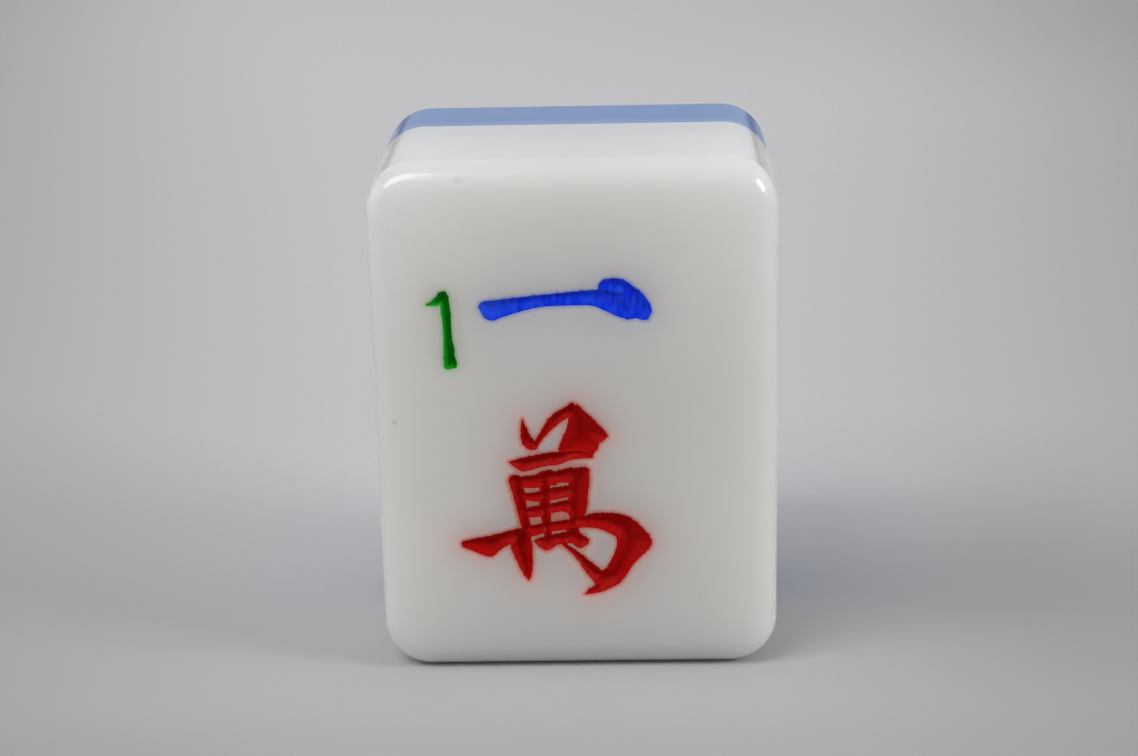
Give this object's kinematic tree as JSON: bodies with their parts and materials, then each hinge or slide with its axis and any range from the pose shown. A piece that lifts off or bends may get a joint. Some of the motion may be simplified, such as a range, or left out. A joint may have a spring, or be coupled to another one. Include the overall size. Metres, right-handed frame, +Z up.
{
  "type": "mahjong tile",
  "caption": "Upright two-layer game tile: white front block with painted engraved marks, bonded to a blue back layer.",
  "frame": {"origin": "middle of the foot that the tile stands on, halfway through its thickness", "axes": "+Z up along the tile's height; -Y out of the engraved front, +Y out of the blue back; +X to the right of someone facing the front"},
  "size_m": [0.03, 0.022, 0.0395],
  "materials": {
    "white_plastic": "polished ivory-white moulded resin, slightly translucent",
    "blue_plastic": "polished blue moulded resin",
    "green_paint": "brushed-in enamel, satin, pooled in the cuts",
    "blue_paint": "brushed-in enamel, satin, pooled in the cuts",
    "red_paint": "brushed-in enamel, satin, pooled in the cuts"
  },
  "bodies": {
    "root": {"front_block": "white_plastic", "back_layer": "blue_plastic", "digit_paint": "green_paint", "stroke_paint": "blue_paint", "character_top_paint": "red_paint", "character_base_paint": "red_paint"}
  },
  "joints": []
}
